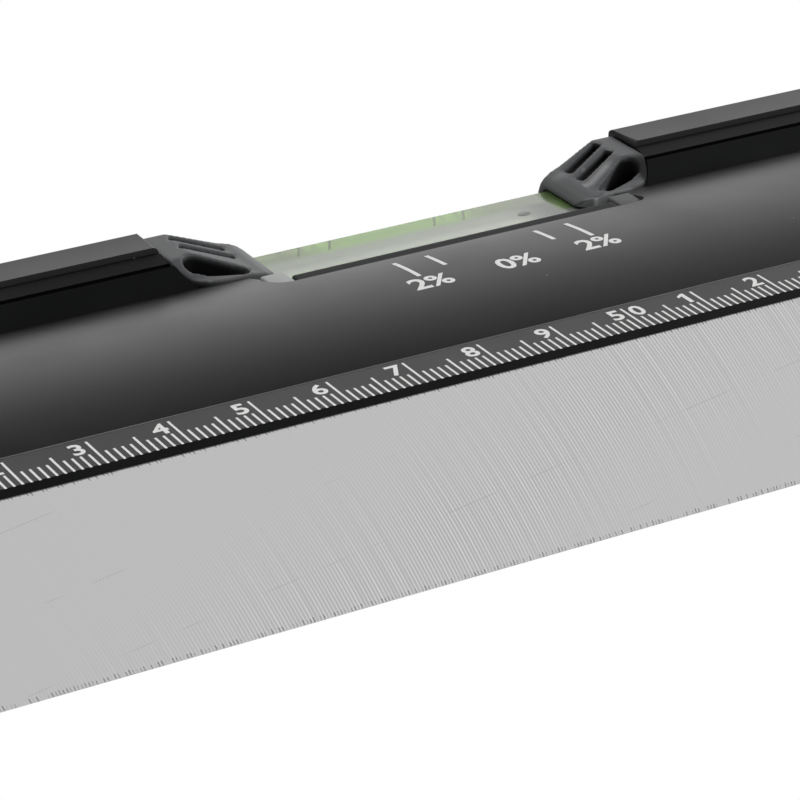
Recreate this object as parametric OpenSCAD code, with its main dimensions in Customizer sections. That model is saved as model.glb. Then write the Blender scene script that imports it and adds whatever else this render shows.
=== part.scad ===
// Spirit level with a milled magnetic base, a ruler edge, a centre vial that is
// read from the front and the top, and two plumb vials near the ends.
// The origin is the middle of the base face. X runs along the level, Z is up,
// and the printed front faces -Y. Sizes are in millimetres.

/* [Profile] */
// Overall length over the bumpers
level_l = 1000; // [600:10:1600]
// Width of the base
base_w = 27; // [26:0.5:34]
// Rounding of the two base edges
edge_r = 0.85; // [0.4:0.05:1.2]
// Height of the upper edge of the ruler band
ruler_h = 7.45; // [6.5:0.05:9]
// Height at which the crowned side faces are widest
crown_z = 20.3; // [18:0.1:24]
// Radius of the crowned side faces
crown_r = 62; // [58:1:80]
// Height of the waist below the rail
waist_z = 42.9; // [42:0.1:44]
// Thickness of the side walls
wall = 2.2; // [1.6:0.1:2.6]
// Thickness of the base plate
base_t = 6; // [5.5:0.25:8]
// Thickness of the web between body and rail
web_t = 6; // [5:0.5:8]

/* [Rail] */
// Height of the rail above the waist
rail_h = 12.6; // [12:0.1:14]
// Width of the rail at the foot of its side band
rail_w = 28.3; // [27.5:0.1:32]
// How much each side band leans in towards the top
band_lean = 0.25; // [0.1:0.05:0.5]
// Rounding of the two top edges
rail_r = 0.7; // [0.4:0.1:1.2]
// Height of the flared lower side of the rail
flare_h = 2.8; // [2.2:0.1:3.4]
// Width across the top of the flare
flare_w = 25.8; // [25:0.1:27]
// Height of the bead between the two grooves
bead_h = 2.1; // [1.5:0.1:2.5]
// Width across the top of the bead
bead_w = 26.9; // [26.3:0.1:27.4]
// Height of the groove below the bead
low_groove_h = 1; // [0.6:0.1:1.2]
// Height of the groove above the bead
high_groove_h = 0.6; // [0.4:0.1:0.8]
// Depth of both grooves
groove_d = 0.8; // [0.3:0.05:0.8]

/* [Window] */
// Length of the gap in the rail
window_l = 70.6; // [68:0.2:74]
// Length of the deep part of the window
sill_l = 54.4; // [50:0.2:58]
// Height of the window's lower edge
sill_z = 33.2; // [32:0.2:35]
// Corner radius at the ends of the rail's gap
window_r = 6.5; // [5:0.25:7]
// How far the rail's gap is cut below the waist
gap_drop = 1.5; // [1:0.1:2]
// Rounding of the rail's ends at its gap, seen from above
rail_turn = 0.8; // [0.4:0.1:1]
// Corner radius of the deep part of the window
sill_r = 2.5; // [1.5:0.25:3]
// Width across the upper bar of the sill strips
sill_w = 25.2; // [24:0.1:25.6]
// Height of the sill strips
sill_h = 3.6; // [2.5:0.1:4.5]

/* [Centre vial] */
// Thickness of the clear block, front to back
block_w = 18.8; // [17:0.2:19.2]
// Height of the clear block's top above the sill
block_h = 17.4; // [16:0.2:18.4]
// Thickness of the cradle under the block
cradle_t = 1.9; // [1.2:0.1:2.4]
// Length of the block's front and back feet
foot_l = 3.4; // [2:0.1:3.5]
// Height of the block's feet
foot_h = 5; // [3:0.1:5]
// Radius of the bore that holds the liquid
bore_r = 5; // [4.5:0.1:5.4]
// Clear plastic left above the bore
bore_cover = 1.5; // [1:0.1:2]
// Length of each end plug
plug_t = 1.8; // [1.2:0.1:3]
// Distance of the inner rings from the middle of the vial
ring_in = 7.85; // [7:0.05:9]
// Distance of the outer rings from the middle of the vial
ring_out = 12.5; // [11:0.05:14]
// Width of a ring
ring_w = 0.5; // [0.3:0.05:0.8]
// Thickness of a ring
ring_t = 0.25; // [0.15:0.05:0.4]
// Length of the bubble
bubble_l = 15.5; // [12:0.1:17]
// Radius of every bubble
bubble_r = 3; // [2.4:0.1:3.3]

/* [Window wedges] */
// Distance from the rail's end to the top of the ramp
shoulder_l = 3.4; // [2:0.1:5]
// Width of a wedge at its shoulder
shoulder_w = 26.6; // [26:0.1:27.4]
// How far the shoulder lies below the rail's top
shoulder_drop = 0.9; // [0.5:0.1:2]
// How far the lower part of a wedge stands out of the waist
rim_out = 0.9; // [0.5:0.1:1.2]
// Width of a wedge at its nose
nose_w = 22.6; // [21.8:0.1:23.4]
// How far the top of the nose stands above the block
nose_rise = 1.7; // [1:0.1:2.2]
// Rounding of the nose seen from the front
nose_r = 2.4; // [1:0.1:2.8]
// Rounding of the nose seen from above
nose_turn = 4.4; // [2:0.1:5]
// How far a nose reaches over the end of the block
nose_reach = 6.2; // [4:0.1:6.5]
// Size of the chamfer under the nose
nose_foot = 3; // [1.5:0.1:4]
// Height of the upright part of a wedge's sides
cheek_h = 2.1; // [2:0.1:3]
// Width of a slot in the ramp
slot_w = 1.5; // [0.9:0.05:1.7]
// Distance of the first slot's middle from the ramp's top edge
slot_first = 1.6; // [1.3:0.1:1.8]
// Spacing of the slots in the ramp
slot_pitch = 2.9; // [2.5:0.1:3.2]
// Depth of a slot
slot_d = 1.3; // [0.8:0.1:2]
// Length of a slot
slot_l = 7.2; // [4:0.1:7.2]
// Distance from the middle of the ramp up to the middle of a slot
slot_off = 1.1; // [0:0.1:1.2]
// Fall of the slots towards the nose, in degrees
slot_fall = 22; // [16:1:30]
// Length of a pocket between the middles of its round ends
pocket_l = 5.8; // [5:0.1:6]
// Radius of a pocket's end at the rail
pocket_r = 1.5; // [1.2:0.1:1.7]
// Radius of a pocket's end at the nose
pocket_tip_r = 1; // [0.7:0.1:1]
// Fall of a pocket towards the nose, in degrees
pocket_fall = 27; // [22:1:28]
// Width of the rim between the pocket and the rail
pocket_rim = 1.6; // [1.5:0.1:3]
// Height of the rim below the pocket's end at the rail
pocket_sill = 2.9; // [2.4:0.1:3.2]
// Width between the front and back pockets where they pass the end of the block
pocket_w = 20.8; // [20.4:0.1:21.4]
// Width of the core between the deep parts of the pockets
pocket_core = 10; // [8:0.5:14]
// Length of a pocket's shallow part past the end of the block
pocket_step = 0.8; // [0.6:0.1:1.2]

/* [Plumb vials] */
// Distance of a plumb vial from the end of the profile
plumb_inset = 75; // [50:1:120]
// Height of the middle of a plumb vial
plumb_z = 22.5; // [21.5:0.25:23.5]
// Length of a plumb window along the level
plumb_win_l = 24; // [20:0.5:40]
// Height of a plumb window
plumb_win_h = 27; // [25:0.5:28]
// Thickness of a bezel's rim
bezel_rim = 3; // [2:0.1:4]
// How far a bezel lies below the crowned face
bezel_drop = 0.5; // [0.2:0.1:1]
// Width of a plumb vial's clear block
plumb_block_l = 16; // [14:0.5:18]
// Length of a plumb vial's bore
plumb_bore_l = 23; // [20:0.5:24]
// Length of a plumb vial's bubble
plumb_bubble_l = 9; // [7:0.5:10]
// Distance of the rings from the middle of a plumb vial
plumb_ring = 4.7; // [4:0.1:6]

/* [Magnets] */
// Diameter of a magnet
magnet_d = 12; // [8:0.5:15]
// Thickness of a magnet
magnet_t = 3; // [2:0.25:3.5]
// Wall of a magnet's steel cup
cup_t = 1; // [0.6:0.1:1.5]
// Distance of the first magnets from the middle
magnet_first = 150; // [60:5:180]
// Spacing of the magnets on each side
magnet_pitch = 180; // [40:5:190]
// How far the magnets lie inside the base face
magnet_sink = 0.15; // [0.05:0.05:0.4]

/* [Ends] */
// Thickness of an end cap's plate
cap_t = 3.5; // [3:0.25:6]
// How far an end cap clears the surface below the base
cap_lift = 0.4; // [0.2:0.1:1]
// Length of an end cap's spigots inside the profile
spigot_l = 12; // [8:1:25]
// How far a bumper stands out of its cap
bumper_out = 1.5; // [1:0.25:3]
// Depth of a bumper's recess in the cap
bumper_sink = 1.2; // [0.8:0.1:1.8]
// Width of the cap's rim around a bumper
bumper_rim = 4; // [3:0.25:5]
// Corner radius of a bumper
bumper_r = 3; // [2:0.5:5]

/* [Hidden] */
$fn = 48;

// Clearances: seated pieces, round seated pieces and the moving bubbles
fit = 0.1;
round_fit = 0.02;
bubble_fit = 0.3;
// Liquid left around a bubble's path, and cut overrun
film = 0.4;
over = 1;
// Steps in the crowned face, in the chamber's face and in small edges
crown_steps = 48;
chamber_steps = 16;
edge_steps = 6;

level_h = waist_z + rail_h;
profile_l = level_l - 2 * (cap_t + bumper_out);
base_half = base_w / 2;
crown_half = base_half + crown_r - sqrt(pow(crown_r, 2) - pow(crown_z - ruler_h, 2));
crown_mid = [crown_half - crown_r, crown_z];
chamber_top = waist_z - web_t / 2;
chamber_half = flare_w / 2 - groove_d - wall;
flare_z = waist_z + flare_h;
bead_z = flare_z + low_groove_h;
band_z = bead_z + bead_h + high_groove_h;
block_top = sill_z + block_h;
block_l = sill_l - 2 * fit;
bore_l = block_l - 2 * plug_t;
bore_z = block_top - bore_cover - bore_r;
bubble_z = bore_z + bore_r - film - bubble_fit - bubble_r;
bubble_path = bore_l - 2 * film;
gap_z = waist_z - gap_drop;
wedge_end = window_l / 2 - fit;
wedge_low = max(gap_z, sill_z + max(foot_h, sill_h)) + fit;
waist_half = crown_mid[0] + sqrt(pow(crown_r, 2) - pow(waist_z - crown_z, 2));
shoulder_x = window_l / 2 - shoulder_l;
nose_x = sill_l / 2 - nose_reach;
shoulder_z = level_h - shoulder_drop;
nose_z = block_top + nose_rise;
ramp_l = shoulder_x - nose_x - nose_r;
ramp_turn = atan((shoulder_w - nose_w) / 2 / ramp_l);
plumb_x = profile_l / 2 - plumb_inset;
plumb_block_h = plumb_win_h - 2 * fit;
plumb_bubble_z = plumb_z + plumb_bore_l / 2 - film - bubble_fit - plumb_bubble_l / 2;
plumb_path = plumb_bore_l - 2 * film;
bezel_face = crown_half - bezel_drop;
magnet_xs = [for (side = [-1, 1], i = [0, 1]) side * (magnet_first + i * magnet_pitch)];
cup_r = magnet_d / 2 + round_fit + cup_t;
cup_h = magnet_t + cup_t;

// Points on a round from angle a to angle b
function round_pts(c, r, a, b, n) =
    [for (i = [0:n]) c + r * [cos(a + (b - a) * i / n), sin(a + (b - a) * i / n)]];

// The same points on the other side, in reverse order
function other_side(pts) = [for (i = [len(pts) - 1:-1:0]) [-pts[i][0], pts[i][1]]];

// Half of the outer section, from the base to the top
function half_section() = concat(
    round_pts([base_half - edge_r, edge_r], edge_r, -90, 0, edge_steps),
    round_pts(crown_mid, crown_r, -asin((crown_z - ruler_h) / crown_r),
        asin((waist_z - crown_z) / crown_r), crown_steps),
    [[flare_w / 2, flare_z],
     [flare_w / 2 - groove_d, flare_z + low_groove_h / 2],
     [flare_w / 2, bead_z],
     [bead_w / 2, bead_z + bead_h],
     [bead_w / 2 - groove_d, bead_z + bead_h + high_groove_h / 2],
     [rail_w / 2, band_z]],
    round_pts([rail_w / 2 - band_lean - rail_r, level_h - rail_r], rail_r, 0, 90, edge_steps));

// Half of the section of the body chamber, drawn in by an inset
function half_chamber(inset) = round_pts(crown_mid, crown_r - wall - inset,
    asin((base_t + inset - crown_z) / (crown_r - wall - inset)),
    asin((chamber_top - inset - crown_z) / (crown_r - wall - inset)), chamber_steps);

// Turns a section drawn in Y and Z into a bar along X, centred or from x on
module bar(length, x = undef) {
    translate([is_undef(x) ? -length / 2 : x, 0, 0])
        rotate([90, 0, 90])
            linear_extrude(length)
                children();
}

module section_2d() {
    polygon(concat(half_section(), other_side(half_section())));
}

module body_chamber_2d(inset = 0) {
    polygon(concat(half_chamber(inset), other_side(half_chamber(inset))));
}

module rail_chamber_2d(inset = 0) {
    low = chamber_top + web_t + inset;
    translate([-chamber_half + inset, low])
        square([2 * (chamber_half - inset), level_h - wall - inset - low]);
}

module rounded_2d(w, h, r) {
    square([w - 2 * r, h], center = true);
    square([w, h - 2 * r], center = true);
    for (a = [-1, 1], b = [-1, 1])
        translate([a * (w / 2 - r), b * (h / 2 - r)])
            circle(r);
}

// Turns an outline drawn in X and Z into a cutter right across the level
module across() {
    translate([0, rail_w, 0])
        rotate([90, 0, 0])
            linear_extrude(2 * rail_w)
                children();
}

// Outline of the window: the rail's gap over the deep part, drawn in by an inset
module window_2d(inset) {
    tall = 2 * level_h;
    translate([0, gap_z + inset + tall / 2])
        rounded_2d(window_l - 2 * inset, tall, window_r - inset);
    translate([0, sill_z + inset + tall / 2])
        rounded_2d(sill_l - 2 * inset, tall, sill_r - inset);
}

// Box centred in X and Y, standing on z
module block(l, w, h, z) {
    translate([-l / 2, -w / 2, z])
        cube([l, w, h]);
}

// Rod along X with round ends, l long over its ends
module rod_x(r, l) {
    straight = l - 2 * r;
    rotate([0, 90, 0])
        cylinder(h = straight, r = r, center = true);
    for (end = [-1, 1])
        translate([end * straight / 2, 0, 0])
            sphere(r);
}

module rod_z(r, l) {
    rotate([0, -90, 0])
        rod_x(r, l);
}

module tube(r, t, h) {
    difference() {
        cylinder(h = h, r = r + t, center = true);
        cylinder(h = h + over, r = r, center = true);
    }
}

// Cutters that round the rail's four corners at its gap, from the upper groove to the top
module rail_rounds() {
    for (end = [0, 1], face = [0, 1])
        mirror([end, 0, 0])
            mirror([0, face, 0])
                translate([window_l / 2, rail_w / 2 - rail_turn, band_z - high_groove_h / 2])
                    linear_extrude(level_h)
                        difference() {
                            translate([-over, 0])
                                square([rail_turn + over, rail_turn + over]);
                            translate([rail_turn, 0])
                                circle(rail_turn);
                        }
}

module profile() {
    color("#26282a")
        difference() {
            bar(profile_l) section_2d();
            bar(profile_l + over) body_chamber_2d();
            bar(profile_l + over) rail_chamber_2d();
            across() window_2d(0);
            rail_rounds();
            for (side = [-1, 1])
                translate([side * plumb_x, 0, 0])
                    block(plumb_win_l, 2 * rail_w, plumb_win_h, plumb_z - plumb_win_h / 2);
            for (x = magnet_xs)
                translate([x, 0, -over])
                    cylinder(h = over + magnet_sink + cup_h, r = cup_r + round_fit);
        }
}

module end_cap(side) {
    inside = profile_l / 2;
    plate = inside + fit / 2;
    mirror([side < 0 ? 1 : 0, 0, 0])
        color("#1b1c1e")
            difference() {
                union() {
                    intersection() {
                        bar(cap_t - fit / 2, plate) section_2d();
                        translate([inside, -rail_w, cap_lift])
                            cube([cap_t, 2 * rail_w, level_h]);
                    }
                    bar(spigot_l + fit, plate - spigot_l) body_chamber_2d(fit);
                    bar(spigot_l + fit, plate - spigot_l) rail_chamber_2d(fit);
                }
                bar(bumper_sink + over, inside + cap_t - bumper_sink) bumper_2d(0);
            }
}

module bumper_2d(inset) {
    h = level_h - 2 * bumper_rim;
    translate([0, level_h / 2])
        rounded_2d(2 * (flare_w / 2 - groove_d - bumper_rim / 2 - inset), h - 2 * inset, bumper_r - inset);
}

module bumper(side) {
    seat = profile_l / 2 + cap_t - bumper_sink;
    mirror([side < 0 ? 1 : 0, 0, 0])
        color("#2f3133")
            bar(bumper_sink + bumper_out, seat) bumper_2d(fit);
}

// The four feet at the corners of the clear block, front and back
module block_feet(inset) {
    for (end = [-1, 1], face = [-1, 1])
        translate([end * (block_l / 2 - foot_l / 2), face * (block_w + sill_w) / 4, 0])
            block(foot_l + 2 * inset, (sill_w - block_w) / 2 + 2 * inset, foot_h + inset, sill_z - inset);
}

module centre_vial_block() {
    color([0.85, 0.9, 0.88, 0.5])
        difference() {
            intersection() {
                union() {
                    block(block_l, block_w, block_h - cradle_t, sill_z + cradle_t);
                    block_feet(0);
                }
                across() window_2d(fit);
            }
            translate([0, 0, bore_z])
                rotate([0, 90, 0])
                    cylinder(h = block_l + over, r = bore_r, center = true);
            ring_places()
                cylinder(h = ring_w + 2 * round_fit, r = bore_r + ring_t + round_fit, center = true);
        }
}

// Places its children at the four rings of the centre vial, turned along X
module ring_places() {
    for (x = [-ring_out, -ring_in, ring_in, ring_out])
        translate([x, 0, bore_z])
            rotate([0, 90, 0])
                children();
}

module centre_vial_liquid() {
    color([0.6, 0.85, 0.2, 0.7])
        difference() {
            translate([0, 0, bore_z])
                rotate([0, 90, 0])
                    cylinder(h = bore_l, r = bore_r - round_fit, center = true);
            translate([0, 0, bubble_z])
                rod_x(bubble_r + bubble_fit, bubble_path);
        }
}

module centre_vial_bubble() {
    color([0.95, 1, 0.85, 0.5])
        translate([0, 0, bubble_z])
            rod_x(bubble_r, bubble_l);
}

module centre_vial_rings() {
    color("#202020")
        ring_places() tube(bore_r, ring_t, ring_w);
}

module centre_vial_plugs() {
    color("#c9d6c4")
        for (end = [-1, 1])
            translate([end * (bore_l + plug_t) / 2, 0, bore_z])
                rotate([0, 90, 0])
                    cylinder(h = plug_t, r = bore_r - round_fit, center = true);
}

module vial_cradle() {
    strip_w = (sill_w - block_w) / 2 - fit;
    color("#17181a")
        difference() {
            intersection() {
                union() {
                    block(block_l, sill_w, cradle_t, sill_z);
                    for (face = [-1, 1])
                        translate([0, face * (sill_w - strip_w) / 2, 0])
                            block(block_l, strip_w, sill_h, sill_z);
                }
                across() window_2d(fit);
            }
            block_feet(fit);
        }
}

// Outline of a wedge seen from above, for the wedge on the +X side
module wedge_plan_2d() {
    half = concat(
        [[wedge_end, shoulder_w / 2], [shoulder_x, shoulder_w / 2]],
        round_pts([nose_x + nose_turn, nose_w / 2 - nose_turn], nose_turn, 90, 180, edge_steps));
    polygon(concat(half, [for (i = [len(half) - 1:-1:0]) [half[i][0], -half[i][1]]]));
}

// Outline of a wedge seen from the front: shoulder, ramp and nose over the foot of the block
module wedge_side_2d() {
    polygon(concat(
        [[wedge_end, wedge_low], [wedge_end, shoulder_z], [shoulder_x, shoulder_z]],
        round_pts([nose_x + nose_r, nose_z - nose_r], nose_r, 90, 180, edge_steps),
        [[nose_x, wedge_low + nose_foot], [nose_x + nose_foot, wedge_low]]));
}

// Section of a wedge: upright sides at the waist, then a flare up to the rail's bead
module wedge_section_2d() {
    half = [[waist_half + rim_out, 0],
        [waist_half + rim_out, gap_z + cheek_h],
        [shoulder_w / 2, bead_z],
        [shoulder_w / 2, level_h]];
    polygon(concat(half, other_side(half)));
}

// Outline of the pocket below the slots, small at the nose and larger at the rail
module pocket_2d() {
    rail_end = [wedge_end - pocket_rim - pocket_r, gap_z + pocket_sill + pocket_r];
    tip = rail_end - pocket_l * [cos(pocket_fall), sin(pocket_fall)];
    lean = 90 + asin((pocket_r - pocket_tip_r) / pocket_l);
    high = [cos(pocket_fall + lean), sin(pocket_fall + lean)];
    low = [cos(pocket_fall - lean), sin(pocket_fall - lean)];
    translate(rail_end)
        circle(pocket_r);
    translate(tip)
        circle(pocket_tip_r);
    polygon([rail_end + pocket_r * high, tip + pocket_tip_r * high,
        tip + pocket_tip_r * low, rail_end + pocket_r * low]);
}

// Floor of the pockets seen from above, level with the ramp at the nose and deep at the rail
module pocket_floor_2d() {
    step_x = sill_l / 2 + pocket_step;
    half = [[nose_x, nose_w / 2], [step_x, pocket_w / 2],
        [step_x, pocket_core / 2], [wedge_end, pocket_core / 2]];
    polygon(concat(half, [for (i = [len(half) - 1:-1:0]) [half[i][0], -half[i][1]]]));
}

// Places a slot on the ramp, front and back, at a distance below the ramp's top edge
module on_ramp(down) {
    for (face = [0, 1])
        mirror([0, face, 0])
            translate([shoulder_x - ramp_l / 2, (shoulder_w + nose_w) / 4, (shoulder_z + nose_z) / 2])
                rotate([0, 0, ramp_turn])
                    translate([slot_off, 0, -down])
                        rotate([0, -slot_fall, 0])
                            children();
}

module window_wedge(side) {
    mirror([side < 0 ? 1 : 0, 0, 0])
        color("#1d1f21")
            difference() {
                union() {
                    intersection() {
                        linear_extrude(level_h) wedge_plan_2d();
                        across() wedge_side_2d();
                        across() window_2d(fit);
                        bar(wedge_end, 0) wedge_section_2d();
                    }
                    bar(shoulder_l + pocket_rim, wedge_end - pocket_rim) rail_chamber_2d(fit);
                }
                block(block_l + 2 * fit, block_w + 2 * fit, block_top + fit, 0);
                for (i = [0, 1])
                    on_ramp(slot_first + i * slot_pitch)
                        cube([slot_l, 2 * slot_d, slot_w], center = true);
                difference() {
                    across() pocket_2d();
                    linear_extrude(level_h) pocket_floor_2d();
                }
            }
}

module plumb_at(side) {
    translate([side * plumb_x, 0, plumb_z])
        children();
}

module plumb_bezel(side, face) {
    w = plumb_win_l - 2 * fit;
    h = plumb_win_h - 2 * fit;
    depth = bezel_face - block_w / 2 - fit;
    color("#1d1f21")
        plumb_at(side)
            translate([0, face * (block_w / 2 + fit + depth / 2), 0])
                difference() {
                    cube([w, depth, h], center = true);
                    cube([w - 2 * bezel_rim, depth + over, h - 2 * bezel_rim], center = true);
                }
}

module plumb_block(side) {
    color([0.85, 0.9, 0.88, 0.5])
        plumb_at(side)
            difference() {
                cube([plumb_block_l, block_w, plumb_block_h], center = true);
                translate([0, 0, -plumb_bore_l / 2])
                    cylinder(h = plumb_bore_l + plumb_block_h, r = bore_r);
                plumb_ring_places()
                    cylinder(h = ring_w + 2 * round_fit, r = bore_r + ring_t + round_fit, center = true);
            }
}

module plumb_ring_places() {
    for (z = [-plumb_ring, plumb_ring])
        translate([0, 0, z])
            children();
}

module plumb_liquid(side) {
    color([0.6, 0.85, 0.2, 0.7])
        plumb_at(side)
            difference() {
                cylinder(h = plumb_bore_l, r = bore_r - round_fit, center = true);
                rod_z(bubble_r + bubble_fit, plumb_path);
            }
}

module plumb_bubble(side) {
    color([0.95, 1, 0.85, 0.5])
        translate([side * plumb_x, 0, plumb_bubble_z])
            rod_z(bubble_r, plumb_bubble_l);
}

module plumb_rings(side) {
    color("#202020")
        plumb_at(side)
            plumb_ring_places()
                tube(bore_r, ring_t, ring_w);
}

module plumb_plug(side) {
    color("#c9d6c4")
        plumb_at(side)
            translate([0, 0, plumb_bore_l / 2])
                cylinder(h = (plumb_block_h - plumb_bore_l) / 2, r = bore_r - round_fit);
}

module magnets() {
    color("#8d9094")
        for (x = magnet_xs)
            translate([x, 0, magnet_sink])
                cylinder(h = magnet_t, r = magnet_d / 2);
}

module magnet_cups() {
    color("#a7aaad")
        for (x = magnet_xs)
            translate([x, 0, magnet_sink])
                difference() {
                    cylinder(h = cup_h, r = cup_r);
                    translate([0, 0, -over])
                        cylinder(h = magnet_t + over, r = magnet_d / 2 + round_fit);
                }
}

profile();
end_cap(-1);  // left_end_cap
end_cap(1);  // right_end_cap
bumper(-1);  // left_bumper
bumper(1);  // right_bumper
centre_vial_block();
centre_vial_liquid();
centre_vial_bubble();
centre_vial_rings();
centre_vial_plugs();
vial_cradle();
window_wedge(-1);  // left_window_wedge
window_wedge(1);  // right_window_wedge
plumb_bezel(-1, -1);  // left_plumb_front_bezel
plumb_bezel(-1, 1);  // left_plumb_back_bezel
plumb_block(-1);  // left_plumb_block
plumb_liquid(-1);  // left_plumb_liquid
plumb_bubble(-1);  // left_plumb_bubble
plumb_rings(-1);  // left_plumb_rings
plumb_plug(-1);  // left_plumb_plug
plumb_bezel(1, -1);  // right_plumb_front_bezel
plumb_bezel(1, 1);  // right_plumb_back_bezel
plumb_block(1);  // right_plumb_block
plumb_liquid(1);  // right_plumb_liquid
plumb_bubble(1);  // right_plumb_bubble
plumb_rings(1);  // right_plumb_rings
plumb_plug(1);  // right_plumb_plug
magnets();
magnet_cups();
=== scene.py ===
"""Spirit level: coat, milled base, print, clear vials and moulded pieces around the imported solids."""

import logging
import math
from dataclasses import dataclass
from enum import Enum
from typing import Any

import bmesh
import bpy
import numpy as np
from mathutils import Matrix, Vector


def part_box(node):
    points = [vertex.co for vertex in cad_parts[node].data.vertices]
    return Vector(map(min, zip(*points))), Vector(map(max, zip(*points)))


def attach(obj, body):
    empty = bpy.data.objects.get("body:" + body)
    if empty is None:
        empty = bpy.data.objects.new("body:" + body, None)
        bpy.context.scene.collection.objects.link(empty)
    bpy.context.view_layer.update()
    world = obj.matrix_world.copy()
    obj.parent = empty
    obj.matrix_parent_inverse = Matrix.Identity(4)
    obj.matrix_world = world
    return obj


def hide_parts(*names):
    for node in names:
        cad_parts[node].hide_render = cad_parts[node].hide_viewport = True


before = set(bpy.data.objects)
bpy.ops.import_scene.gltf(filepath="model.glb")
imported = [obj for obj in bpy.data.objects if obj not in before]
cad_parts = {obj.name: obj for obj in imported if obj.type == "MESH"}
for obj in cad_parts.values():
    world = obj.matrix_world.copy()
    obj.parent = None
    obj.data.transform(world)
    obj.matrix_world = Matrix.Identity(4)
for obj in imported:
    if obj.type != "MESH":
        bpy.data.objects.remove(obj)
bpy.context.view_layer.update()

LOG = logging.getLogger("level")
MM = 0.001
LEVEL = "level"
PAINTED_SHADING_ATTRIBUTE = "hollow"
SAME_CORNER_MM = 0.0005
SAME_POINT_MM = 0.001
SMOOTH_BELOW = math.radians(40)
UP = (0.0, 1.0)
DOWN = (1.0, 0.0)

Array = np.ndarray
Pair = tuple[float, float]
Triple = tuple[float, float, float]
Colour = tuple[float, float, float, float]
Faces = list[list[int]]
Shape = tuple[Array, Any]
Socket = bpy.types.NodeSocket
Piece = bpy.types.Object


class Side(Enum):
    """The two ends of the level, by the sign of X."""

    LEFT = -1
    RIGHT = 1

    @property
    def word(self) -> str:
        """The side's name as the nodes spell it."""
        return self.name.lower()


class Slot(Enum):
    """Material slots of the record, handed along with new pieces."""

    PROFILE = "coated_profile"
    PLASTIC = "black_plastic"
    RUBBER = "bumper_rubber"
    ACRYLIC = "clear_acrylic"
    LIQUID = "green_liquid"


def linear(hex_colour: str) -> Colour:
    """Turns an sRGB hex colour into linear RGBA.

    Args:
        hex_colour: A colour such as "#1a1b1c".

    Returns:
        The linear red, green and blue, and an alpha of 1.
    """
    rgb = np.array([int(hex_colour[i:i + 2], 16) for i in (1, 3, 5)]) / 255
    lin = np.where(rgb <= 0.04045, rgb / 12.92, ((rgb + 0.055) / 1.055) ** 2.4)
    return (*(float(c) for c in lin), 1.0)


def per_mm(size: float) -> float:
    """Texture scale, per metre, of a pattern whose features are size millimetres wide."""
    return 1 / (size * MM)


@dataclass
class Nodes:
    """The emptied node tree of a material or a world, with short ways to fill it."""

    owner: Any
    coordinates: str = "Object"

    def __post_init__(self) -> None:
        """Clears the tree and adds the coordinates."""
        self.owner.use_nodes = True
        self.tree = self.owner.node_tree
        self.tree.nodes.clear()
        self.place = self.add("ShaderNodeTexCoord").outputs[self.coordinates]

    def add(self, kind: str, settings: dict[str, Any] | None = None, **inputs: Any) -> bpy.types.Node:
        """Adds one node with its settings, constants and links.

        Args:
            kind: The node's type name.
            settings: Properties of the node itself.
            **inputs: A constant or an output socket for each input. The input is named with
                underscores for spaces, or as i0, i1 and so on by its place.

        Returns:
            The new node.
        """
        node = self.tree.nodes.new(kind)
        for name, value in (settings or {}).items():
            setattr(node, name, value)
        for name, value in inputs.items():
            socket = node.inputs[int(name[1:]) if name[1:].isdigit() else name.replace("_", " ")]
            if isinstance(value, Socket):
                self.tree.links.new(value, socket)
            else:
                socket.default_value = value
        return node

    def axes(self) -> list[Socket]:
        """Adds a split of the coordinates and gives X, Y and Z."""
        return list(self.add("ShaderNodeSeparateXYZ", Vector=self.place).outputs)

    def calc(self, operation: str, *values: Any) -> Socket:
        """Adds one Math node on sockets or constants and gives its output."""
        inputs = {f"i{place}": value for place, value in enumerate(values)}
        return self.add("ShaderNodeMath", {"operation": operation}, **inputs).outputs[0]

    def ramp(self, value: Socket, ends: Pair, low: float = 0.0, high: float = 1.0, unit: float = 1.0,
             kind: str = "SMOOTHSTEP") -> Socket:
        """Adds a ramp from low at the first end to high at the second and gives its output."""
        return self.add("ShaderNodeMapRange", {"interpolation_type": kind}, Value=value, To_Min=low,
                        To_Max=high, From_Min=ends[0] * unit, From_Max=ends[1] * unit).outputs[0]

    def blend(self, share: Socket, first: Any, second: Any) -> Socket:
        """Adds a mix of two colours, each a socket or an sRGB hex, and gives its output."""
        ends = [linear(end) if isinstance(end, str) else end for end in (first, second)]
        return self.add("ShaderNodeMix", {"data_type": "RGBA"}, i0=share, i6=ends[0], i7=ends[1]).outputs[2]

    def noise(self, size: float, detail: float = 2.0, draw: Triple = (1.0, 1.0, 1.0)) -> Socket:
        """Adds a noise with features of some millimetres, drawn out where draw is small.

        Args:
            size: Width of the features in millimetres.
            detail: Detail of the noise.
            draw: Scale along X, Y and Z before the noise.

        Returns:
            The noise's strength.
        """
        place = self.place
        if draw != (1.0, 1.0, 1.0):
            place = self.add("ShaderNodeMapping", Vector=place, Scale=draw).outputs[0]
        return self.add("ShaderNodeTexNoise", Vector=place, Scale=per_mm(size), Detail=detail).outputs["Fac"]

    def bump(self, height: Socket, depth: float, strength: float) -> Socket:
        """Adds a bump that is depth millimetres high and gives its normal."""
        return self.add("ShaderNodeBump", Strength=strength, Distance=depth * MM, Height=height).outputs[0]

    def surface(self, **inputs: Any) -> Socket:
        """Adds a Principled shader and gives its output."""
        return self.add("ShaderNodeBsdfPrincipled", **inputs).outputs[0]

    def mix(self, share: Socket, first: Socket, second: Socket) -> Socket:
        """Adds a mix of two shaders and gives its output."""
        return self.add("ShaderNodeMixShader", i0=share, i1=first, i2=second).outputs[0]


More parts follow.
